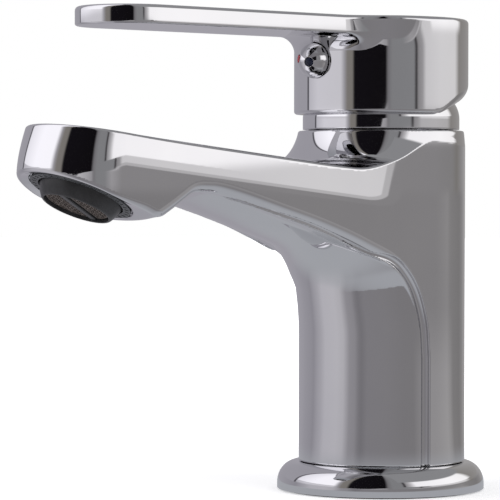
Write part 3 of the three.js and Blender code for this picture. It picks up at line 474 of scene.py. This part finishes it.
class Net:
    """Adds nodes to a tree and links them."""

    def __init__(self, tree):
        self.tree = tree
        tree.nodes.clear()

    def add(self, kind, inputs=None, **settings):
        node = self.tree.nodes.new(kind)
        for key, value in settings.items():
            setattr(node, key, value)
        for key, value in (inputs or {}).items():
            socket = node.inputs[key]
            if isinstance(value, bpy.types.NodeSocket):
                self.tree.links.new(value, socket)
            else:
                socket.default_value = value
        return node

    def math(self, operation, a, b=0.0):
        return self.add("ShaderNodeMath", {0: a, 1: b}, operation=operation).outputs[0]

    def span(self, value, low, high, to_low=0.0, to_high=1.0, smooth=False):
        kind = "SMOOTHSTEP" if smooth else "LINEAR"
        node = self.add(
            "ShaderNodeMapRange",
            {"Value": value, "From Min": low, "From Max": high, "To Min": to_low, "To Max": to_high},
            interpolation_type=kind,
        )
        return node.outputs["Result"]

    def choose(self, share, first, second):
        """A node that mixes two shaders."""
        return self.add("ShaderNodeMixShader", {0: share, 1: first.outputs[0], 2: second.outputs[0]})

    def noise(self, where, scale, detail=3.0, rough=0.5):
        inputs = {"Vector": where, "Scale": scale, "Detail": detail, "Roughness": rough}
        return self.add("ShaderNodeTexNoise", inputs).outputs[0]

    def ramp(self, value, stops):
        node = self.add("ShaderNodeValToRGB", {0: value})
        while len(node.color_ramp.elements) > 1:
            node.color_ramp.elements.remove(node.color_ramp.elements[0])
        for k, (place, colour) in enumerate(stops):
            e = node.color_ramp.elements[0] if k == 0 else node.color_ramp.elements.new(place)
            e.position = place
            e.color = (*colour, 1.0)
        return node.outputs[0]

    def mix(self, share, a, b):
        node = self.add("ShaderNodeMix", {0: share}, data_type="RGBA")
        for socket, value in ((node.inputs[6], a), (node.inputs[7], b)):
            if isinstance(value, bpy.types.NodeSocket):
                self.tree.links.new(value, socket)
            else:
                socket.default_value = (*value, 1.0)
        return node.outputs[2]


def finish_of(name, colour, second, metallic, rough, patch, grain, grain_depth):
    """A moulded, cast or plated surface: two close colours in soft patches, uneven gloss and a fine grain."""
    material = bpy.data.materials.new(name)
    material.use_nodes = True
    net = Net(material.node_tree)
    where = net.add("ShaderNodeTexCoord").outputs["Object"]
    blotch = net.noise(where, patch, 4.0, 0.55)
    fine = net.noise(where, grain, 2.0, 0.5)
    tone = net.mix(net.span(blotch, 0.35, 0.65, smooth=True), colour, second)
    gloss = net.span(blotch, 0.3, 0.7, rough[0], rough[1])
    bump = net.add("ShaderNodeBump", {"Height": fine, "Distance": grain_depth, "Strength": 1.0})
    shader = net.add(
        "ShaderNodeBsdfPrincipled",
        {"Base Color": tone, "Roughness": gloss, "Metallic": metallic, "Normal": bump.outputs[0]},
    )
    out = net.add("ShaderNodeOutputMaterial", {"Surface": shader.outputs[0]})
    out.target = "ALL"
    return material


# Colour, second colour, metallic, least and most roughness, patches and grain per metre, depth of the grain
FINISHES = {
    "chrome": ((0.80, 0.80, 0.81), (0.77, 0.77, 0.785), 1.0, (0.015, 0.05), 22, 26, 0.000004),
    "rubber": ((0.018, 0.018, 0.019), (0.03, 0.03, 0.03), 0, (0.6, 0.8), 300, 2500, 0.00002),
    "white_plastic": ((0.78, 0.78, 0.74), (0.72, 0.72, 0.69), 0, (0.35, 0.5), 120, 1800, 0.00001),
    "grey_plastic": ((0.035, 0.037, 0.041), (0.05, 0.052, 0.057), 0, (0.32, 0.45), 260, 2200, 0.00001),
    "black_plastic": ((0.012, 0.012, 0.013), (0.018, 0.018, 0.02), 0, (0.28, 0.42), 260, 2200, 0.00001),
    "ceramic": ((0.86, 0.84, 0.8), (0.82, 0.8, 0.77), 0, (0.12, 0.2), 160, 1500, 0.000004),
    "steel": ((0.5, 0.5, 0.51), (0.42, 0.42, 0.43), 1.0, (0.22, 0.38), 400, 3000, 0.00001),
    "screen": ((0.34, 0.30, 0.27), (0.22, 0.19, 0.17), 1.0, (0.35, 0.55), 900, 5000, 0.00001),
    "brass": ((0.62, 0.42, 0.17), (0.52, 0.34, 0.13), 1.0, (0.25, 0.42), 300, 2500, 0.00001),
    "red": ((0.40, 0.02, 0.03), (0.32, 0.012, 0.02), 0, (0.25, 0.35), 500, 3000, 0.00001),
    "blue": ((0.006, 0.01, 0.03), (0.004, 0.007, 0.022), 0, (0.25, 0.35), 500, 3000, 0.00001),
}
looks = {name: finish_of(name, *finish) for name, finish in FINISHES.items()}

for part in frame["record"]["subparts"]:
    holder = nodes[part["node"]]
    holder.data.materials.clear()
    holder.data.materials.append(looks[part["material_slot"]])


# ---------------------------------------------------------------- pieces


def put(piece, body, node):
    """Hangs a piece on the body that carries it, and hides the CAD node that it takes the place of."""
    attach(piece, body)
    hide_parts(node)


# Sizes of the mesh cells in millimetres
STEP, FINE_STEP = ((0.34, 0.2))


def sculpted(name, field, low, high, step, body, slot, node, place=None):
    """Builds the surface of a field between two corners, and puts it in the place of a node."""
    put(build(name, field, low, high, step, looks[slot], place), body, node)


for name, field, low, high, body, node in (
    ("column_and_spout", casting, (-24, -120, 6), (24, 24, 99.5), "body", "body_casting"),
    ("lever_and_cap", handle, (-25, -102.5, 101.2), (25, 25, 129.5), "handle", "lever_handle"),
):
    sculpted(name, field, low, high, STEP, body, "chrome", node)

# Profiles of radius and height, from the inner lower edge round to the inner top edge
flange_profile = (
    [(20.2, 1.9), (26.7, 1.9), (26.7, 0.4), (28.1, 0.4)]
    + arc(28.1, 0.6, 0.2, -math.pi / 2, 0, 4)
    + [(28.3, 1.0)]
    + [
        (22.9 + 5.4 * math.cos(t) ** 0.95, 1.8 + 6.0 * math.sin(t))
        for t in np.linspace(0, math.radians(88), 30)
    ]
    + [(22.4, 7.8), (20.2, 7.8)]
)
put(turned("base_ring", flange_profile, looks["chrome"]), "body", "base_flange")

trim_profile = (
    [(19.9, 98.3), (21.2, 98.3)]
    + arc(21.2, 98.5, 0.2, -math.pi / 2, 0, 4)
    + [(21.4, 98.7), (21.4, 99.8), (21.4, 100.9)]
    + [(13.9 + 7.5 * math.cos(t), 101.2 + 7.5 * math.sin(t)) for t in np.linspace(0.0, math.pi / 2, 36)]
    + [(12.5, 108.7), (12.5, 107.2)]
    + [(13.9 + 6.0 * math.cos(t), 102.2 + 5.0 * math.sin(t)) for t in np.linspace(math.pi / 2, 0, 16)]
)
put(turned("trim_ring", trim_profile, looks["chrome"]), "body", "trim_dome")


def dot_axis(x, y, z, side):
    """Distance from a dot's axis, along it from the centre of the button, and straight from that centre."""
    dy = y - BUTTON[1]
    dx = x * math.cos(DOT_ROLL) - (z - BUTTON[2]) * math.sin(DOT_ROLL)
    dz = x * math.sin(DOT_ROLL) + (z - BUTTON[2]) * math.cos(DOT_ROLL)
    along = dx * side * math.sin(DOT_TURN) - dy * math.cos(DOT_TURN)
    across = dx * math.cos(DOT_TURN) + dy * side * math.sin(DOT_TURN)
    return np.hypot(across, dz), along, np.sqrt(dx**2 + dy**2 + dz**2)


def button(x, y, z):
    """Most of a ball on the front of the cap, with a peg in the cap and two holes for the dots."""
    ball = np.sqrt(x**2 + (y - BUTTON[1]) ** 2 + (z - BUTTON[2]) ** 2) - BUTTON_R
    ball = np.maximum(ball, GAP - handle(x, y, z))
    peg = np.maximum(np.hypot(x, z - BUTTON[2]) - PEG_R, np.maximum(y - PEG_BACK, PEG_FRONT - y))
    whole = np.minimum(np.maximum(ball, y - BUTTON_BACK), peg)
    for side in (-1, 1):
        off, along, _ = dot_axis(x, y, z, side)
        floor = BUTTON_R - DOT_DEPTH - GAP / 2
        whole = both(whole, -np.maximum(off - DOT_R - DOT_GAP, floor - along), DOT_HOLE_EDGE)
    return whole


def dot(side):
    """A short rod in its hole, with its front rounded like the button."""

    def field(x, y, z):
        off, along, far = dot_axis(x, y, z, side)
        rod = np.maximum(off - DOT_R, BUTTON_R - DOT_DEPTH - along)
        return both(rod, far - BUTTON_R - DOT_PROUD, DOT_EDGE)

    return field


def ring_housing(x, y, z):
    """The fixed ring of the nozzle, round the ball, with a notched rim that a key grips."""
    r = np.hypot(x, y)
    outer = np.where(z < FACE_HIGH, r - FACE_R, r - THREAD_R)
    outer = np.maximum(outer, np.maximum(FACE_LOW - z, z - HOUSING_TOP))
    ball = np.hypot(r, np.minimum(z - BALL_SINK, 0)) - BALL_R - GAP
    notch = 0.4 * (0.3 - np.sin(np.arctan2(y, x) * NOTCHES))
    notch = np.maximum(np.maximum(notch, np.abs(r - NOTCH_R) - NOTCH_HALF), z - NOTCH_TOP)
    return both(np.maximum(outer, -notch), -ball, SEAT_EDGE)


def from_bar(x, y):
    """Distances across and along the bar of the nozzle, from the nozzle's axis."""
    across = x * math.cos(BAR_TURN) + y * math.sin(BAR_TURN)
    along = y * math.cos(BAR_TURN) - x * math.sin(BAR_TURN)
    return across, along


def ball_nozzle(x, y, z):
    """The ball that tilts, open through the middle, with a bar across its mouth."""
    r = np.hypot(x, y)
    ball = np.sqrt(r**2 + (z - BALL_SINK) ** 2) - BALL_R
    shell = np.maximum(both(ball, -REACH - z, BALL_EDGE), z - BALL_SINK - BALL_TOP)
    mouth = np.maximum(r - MOUTH_R, z - SHELF_Z)
    inner = np.maximum(r - SHELF_R - FUNNEL_SLOPE * np.maximum(z - FUNNEL_Z, 0), SHELF_Z - z)
    shell = both(shell, -np.minimum(mouth, inner), MOUTH_EDGE)
    u, v = from_bar(x, y)
    bar = both(np.abs(u) - BAR_HALF, np.maximum(BAR_LOW - z, z - BAR_HIGH), BALL_EDGE)
    return np.minimum(shell, np.maximum(bar, np.abs(v) - BAR_END))


def screen_half(side):
    """Half of the outlet screen: woven wires in a thin rim."""

    def field(x, y, z):
        u, v = from_bar(x, y)
        a, b = (u + v) / math.sqrt(2), (u - v) / math.sqrt(2)
        wires = np.inf
        for p, q, way in ((a, b, 1), (b, a, -1)):
            row = np.round(p / WIRE_PITCH)
            wave = way * (0.5 - row % 2) * WIRE_WAVE * np.cos(np.pi * q / WIRE_PITCH)
            wires = np.minimum(wires, np.hypot(p - row * WIRE_PITCH, z - SCREEN_Z - wave) - WIRE_R)
        half = np.maximum(np.hypot(u, v) - SCREEN_R, SCREEN_EDGE - side * u)
        rim = np.maximum(np.maximum(half, -SCREEN_RIM - half), np.abs(z - SCREEN_Z) - SCREEN_HALF)
        return np.minimum(np.maximum(wires, half), rim)

    return field


# Two corners of a box round the button
around_button = BUTTON - [5.2, 5.2, 5.2], BUTTON + [5.2, 1.6, 5.2]
sculpted("button", button, *around_button, FINE_STEP, "handle", "chrome", "index_button")
for side, node, slot in ((-1, "hot_dot", "red"), (1, "cold_dot", "blue")):
    sculpted(slot + "_dot", dot(side), *around_button, FINE_STEP * 0.7, "handle", slot, node)
for name, field, low, high, body, slot, node in (
    ("nozzle_ring", ring_housing, (-14, -14, -0.9), (14, 14, 7.6), "body", "grey_plastic", "aerator_housing"),
    ("ball_nozzle", ball_nozzle, (-12, -12, -4.2), (12, 12, 6.2), "nozzle", "black_plastic", "swivel_nozzle"),
):
    sculpted(name, field, low, high, FINE_STEP, body, slot, node, to_aerator)
for side, word in ((-1, "left"), (1, "right")):
    half, node = screen_half(side), "outlet_screen_" + word
    low, high = (-9, -9, -3.1), (9, 9, -1.6)
    sculpted("screen_" + word, half, low, high, FINE_STEP * 0.6, "nozzle", "screen", node, to_aerator)


# ---------------------------------------------------------------- studio


CAMERA_SIDE = math.radians(47)
TO_CAMERA = (math.sin(CAMERA_SIDE), -math.cos(CAMERA_SIDE), 0.0)
TO_RIGHT = (math.cos(CAMERA_SIDE), math.sin(CAMERA_SIDE), 0.0)


def bearing(net, vector):
    """0 to 1 round the object, 0.5 towards the camera's side, rising to the right."""
    ahead, right = (
        net.add("ShaderNodeVectorMath", {0: vector, 1: way}, operation="DOT_PRODUCT").outputs["Value"]
        for way in (TO_CAMERA, TO_RIGHT)
    )
    return net.span(net.math("ARCTAN2", right, ahead), -math.pi, math.pi)


def linear(v):
    """A linear value from one of 0 to 255 as it is seen in a picture."""
    v = v / 255
    return v / 12.92 if v <= 0.04045 else ((v + 0.055) / 1.055) ** 2.4


def bands(rows, reflectance=0.8):
    """Ramp stops from rows of bearing in degrees and the grey or colour seen in the metal there."""
    stops = []
    for degrees, seen in rows:
        # A little cooler on the left and warmer on the right
        cool = np.interp(degrees, (-110, 0, 110), (6, 2, -1))
        rgb = seen if isinstance(seen, tuple) else (seen + 1, max(seen - 1, 0), seen + cool)
        stops.append(((degrees + 180) / 360, tuple(linear(c) / reflectance for c in rgb)))
    return stops


# Rows of bearing in degrees and tone, for the floor and the lowest part of the tent: painted light and shade
# of the table as reflections see it, lighter on the left towards the left lamp and shaded towards the camera
LOW_ROWS = [
    (-180, 147), (-140, 148), (-112, 140), (-106, 136), (-98, 150), (-90, 160), (-82, 173), (-62, 176),
    (-52, 170), (-46, 150), (-43, 138), (-35, 133), (-30, 118), (-26, 112), (-18, 121), (7, 121),
    (32, 118), (45, 118), (60, 132), (68, 138), (85, 143), (101, 149), (108, 140), (115, 122),
    (133, 117), (145, 130), (155, 147), (180, 147),
]
TABLE_LIGHT_AND_SHADE = bands(LOW_ROWS)
LOW_WALL = bands([(place, seen - 15 if 50 < place < 110 else seen) for place, seen in LOW_ROWS])
# Runs of rows that several levels of the tent share: its left end, and the dark gap with what is right of it
LEFT = [(-180, 147), (-112, 150), (-110.5, 30), (-109.5, 30)]
GAP_ROWS = [(-48, 150), (-44, (120, 116, 112)), (-37, (118, 114, 110)), (-34.5, 16), (6, 13), (9, 110)]
GREY, DIM, WARM = (124, 124, 126), (126, 126, 128), (130, 127, 124)
PLAIN = GAP_ROWS + [(14, GREY), (28, DIM)]
DARK = GAP_ROWS + [(14, GREY), (43, DIM), (45.5, 60), (46.5, 60)]
NEAR = GAP_ROWS + [(14, GREY), (25, GREY), (27, 55), (28, 55)]
# Heights on the tent in metres between which each level takes over from the one under it, and its rows
WALLS = [
    (0.078, 0.084, LEFT + [(-107, 160), (-90, 178), (-53, 176)] + PLAIN + [
        (40, 150), (60, 131), (90, 127), (112, 125), (124, (118, 115, 112)), (140, 132), (155, 147),
        (180, 147),
    ]),
    (0.101, 0.105, LEFT + [(-107, 180), (-90, 204), (-53, 204)] + PLAIN + [
        (40, 160), (50, 172), (84, 176), (112, 170), (122, WARM), (180, 147),
    ]),
    (0.107, 0.110, LEFT + [(-107, 180), (-90, 204), (-53, 204)] + DARK + [
        (49, 132), (55, 150), (60, 172), (84, 176), (112, 170), (122, WARM), (180, 147),
    ]),
    (0.116, 0.119, LEFT + [(-107, 178), (-90, 196), (-53, 194)] + DARK + [
        (49, 132), (55, 150), (60, 198), (84, 207), (112, 205), (122, WARM), (180, 147),
    ]),
    (0.150, 0.156, LEFT + [(-107, 225), (-80, 248), (-53, 248)] + NEAR + [
        (29, 130), (35, 180), (41, 240), (90, 248), (118, 240), (127, WARM), (180, 147),
    ]),
]
# The lower edge of the dark gap is round: bearing and height. Under it the wall has these rows
GAP_EDGE = [
    (-50, 0.092), (-35, 0.091), (-24, 0.087), (-14, 0.0885), (-6, 0.099), (0, 0.109), (5, 0.117), (9, 0.12),
]
GAP_FOOT = [(-45, 150), (-30, 172), (-12, 176), (0, 160), (12, 130)]
# The last of these is painted shade: the darker blue-grey of the floor close round the object, as reflections
# see it
CEILING, ROOM, SHADED_NEAR_FLOOR = (0.29, 0.29, 0.30), (0.40, 0.40, 0.42), (0.42, 0.43, 0.46)
SHADE, WHITE = (0.62, 0.62, 0.64), (1.0, 1.0, 1.0)
TENT_RADIUS, TENT_TOP, TENT_SIDES = 0.5, 4.0, 180
FLOOR_RADIUS, FLOOR_SIDES = 4.0, 64

world = bpy.data.worlds.new("studio")
bpy.context.scene.world = world
world.use_nodes = True
net = Net(world.node_tree)
where = net.add("ShaderNodeTexCoord").outputs["Generated"]
height = net.add("ShaderNodeSeparateXYZ", {0: where}).outputs["Z"]
room = net.mix(net.span(height, -0.2, 0.2), ROOM, CEILING)
rays = net.add("ShaderNodeLightPath")
seen = net.mix(rays.outputs["Is Camera Ray"], SHADE, WHITE)
seen = net.mix(rays.outputs["Is Glossy Ray"], seen, room)
backing = net.add("ShaderNodeBackground", {"Color": seen, "Strength": 1.0})
net.add("ShaderNodeOutputWorld", {"Surface": backing.outputs[0]})


def stage_piece(name, points, faces):
    """A piece of the studio, and the nodes of its material."""
    mesh = bpy.data.meshes.new(name)
    mesh.from_pydata(points, [], faces)
    thing = bpy.data.objects.new(name, mesh)
    bpy.context.scene.collection.objects.link(thing)
    look = bpy.data.materials.new(name)
    look.use_nodes = True
    mesh.materials.append(look)
    return thing, Net(look.node_tree)


def circle(radius, height, count):
    """Points of a level circle round the Z axis."""
    turns = np.linspace(0, 2 * math.pi, count, endpoint=False)
    return [(radius * math.cos(t), radius * math.sin(t), height) for t in turns]


# A round tent of soft boxes and dark gaps, which only reflections see
tent, net = stage_piece(
    "light_tent",
    circle(TENT_RADIUS, 0.0, TENT_SIDES) + circle(TENT_RADIUS, TENT_TOP, TENT_SIDES),
    [(k, n, TENT_SIDES + n, TENT_SIDES + k) for k in range(TENT_SIDES) for n in [(k + 1) % TENT_SIDES]],
)
tent.visible_camera = tent.visible_diffuse = tent.visible_shadow = tent.visible_transmission = False
where = net.add("ShaderNodeTexCoord").outputs["Object"]
turn = bearing(net, where)
height = net.add("ShaderNodeSeparateXYZ", {0: where}).outputs["Z"]
tone = net.mix(net.span(height, 0.0, 0.03), net.ramp(turn, TABLE_LIGHT_AND_SHADE), net.ramp(turn, LOW_WALL))
for low, high, rows in WALLS:
    tone = net.mix(net.span(height, low, high, smooth=True), tone, net.ramp(turn, bands(rows)))
# The boxes end near the top of the tent on the left, and at 0.4 m on the right
rise = net.math("SUBTRACT", height, net.span(turn, 0.56, 0.53, 0.0, 3.6))
tone = net.mix(net.span(rise, 0.36, 0.42, smooth=True), tone, CEILING)
foot = net.ramp(turn, [((a + 180) / 360, (h, h, h)) for a, h in GAP_EDGE])
inside = net.math("MULTIPLY", net.span(turn, 0.39, 0.41), net.span(turn, 0.53, 0.52))
below = net.math("MULTIPLY", net.span(net.math("SUBTRACT", height, foot), 0.0006, -0.0006), inside)
below = net.math("MULTIPLY", below, net.span(height, 0.080, 0.084))
tone = net.mix(below, tone, net.ramp(turn, bands(GAP_FOOT)))
glow = net.add("ShaderNodeEmission", {"Color": tone, "Strength": 1.0})
net.add("ShaderNodeOutputMaterial", {"Surface": glow.outputs[0]})

_, net = stage_piece("floor", circle(FLOOR_RADIUS, 0.0, FLOOR_SIDES), [tuple(range(FLOOR_SIDES))])
where = net.add("ShaderNodeTexCoord").outputs["Object"]
turn = bearing(net, where)
far = net.add("ShaderNodeVectorMath", {0: where}, operation="LENGTH").outputs["Value"]
pale = net.mix(net.noise(where, 3.0), (0.86, 0.86, 0.86), (0.9, 0.9, 0.9))
matt = net.add("ShaderNodeBsdfDiffuse", {"Color": pale})
strength = net.span(far, 0.04, 0.3, 0.35, 1.0, smooth=True)
lift = net.add("ShaderNodeEmission", {"Color": (1, 1, 1, 1), "Strength": strength})
pale_floor = net.add("ShaderNodeAddShader", {0: matt.outputs[0], 1: lift.outputs[0]})
# Close round the object, the floor's glow for reflections fades into a painted darker blue-grey shade
floor_light_and_shade = net.mix(net.span(far, 0.05, 0.16, smooth=True), SHADED_NEAR_FLOOR, net.ramp(turn, TABLE_LIGHT_AND_SHADE))
# Reflections see the floor glow with painted light and shade by bearing, lighter on the left and shaded
# towards the camera
painted_floor_glow = net.add("ShaderNodeEmission", {"Color": floor_light_and_shade, "Strength": 1.0})
rays = net.add("ShaderNodeLightPath")
shown_floor = net.choose(rays.outputs["Is Glossy Ray"], pale_floor, painted_floor_glow)
# Seen from below, the floor lets the underside show
under = net.add("ShaderNodeNewGeometry").outputs["Backfacing"]
open_floor = net.choose(under, shown_floor, net.add("ShaderNodeBsdfTransparent"))
net.add("ShaderNodeOutputMaterial", {"Surface": open_floor.outputs[0]})


def lamp(name, place, target, size, watts):
    """A soft round lamp that no reflection shows."""
    data = bpy.data.lights.new(name, "AREA")
    data.shape = "DISK"
    data.size = size
    data.energy = watts
    thing = bpy.data.objects.new(name, data)
    bpy.context.scene.collection.objects.link(thing)
    thing.location = place
    thing.rotation_euler = (Vector(target) - Vector(place)).to_track_quat("-Z", "Y").to_euler()
    thing.visible_glossy = False


lamp("left_box", (-0.7, -1.2, 1.2), (0, 0, 0.05), 1.2, 9)
lamp("right_box", (1.3, 0.2, 1.1), (0, 0, 0.05), 1.2, 7)

# ---------------------------------------------------------------- camera


def swing(a, b, angle):
    """Two axes turned in their plane, the first towards the second."""
    return a * math.cos(angle) + b * math.sin(angle), b * math.cos(angle) - a * math.sin(angle)


# The camera that the photograph was taken with, as it was fitted to it
LENS, SENSOR, CAMERA_PLACE = 201.6, 36.0, (0.5614, -0.5235, 0.08186)
YAW, PITCH, ROLL = (math.radians(a) for a in (-2.674, 1.229, 0.068))

camera_data = bpy.data.cameras.new("camera")
camera = bpy.data.objects.new("camera", camera_data)
bpy.context.scene.collection.objects.link(camera)
bpy.context.scene.camera = camera
camera_data.sensor_width = SENSOR
camera_data.lens = LENS
forward, right, up = -np.array(TO_CAMERA), np.array(TO_RIGHT), np.array([0.0, 0.0, 1.0])
forward, right = swing(forward, right, YAW)
up, forward = swing(up, forward, PITCH)
right, up = swing(right, up, ROLL)
turning = Matrix([[right[i], up[i], -forward[i]] for i in range(3)])
camera.rotation_mode = "QUATERNION"
camera.rotation_quaternion = turning.to_quaternion()
camera.location = CAMERA_PLACE

bpy.context.scene.view_settings.view_transform = "Standard"
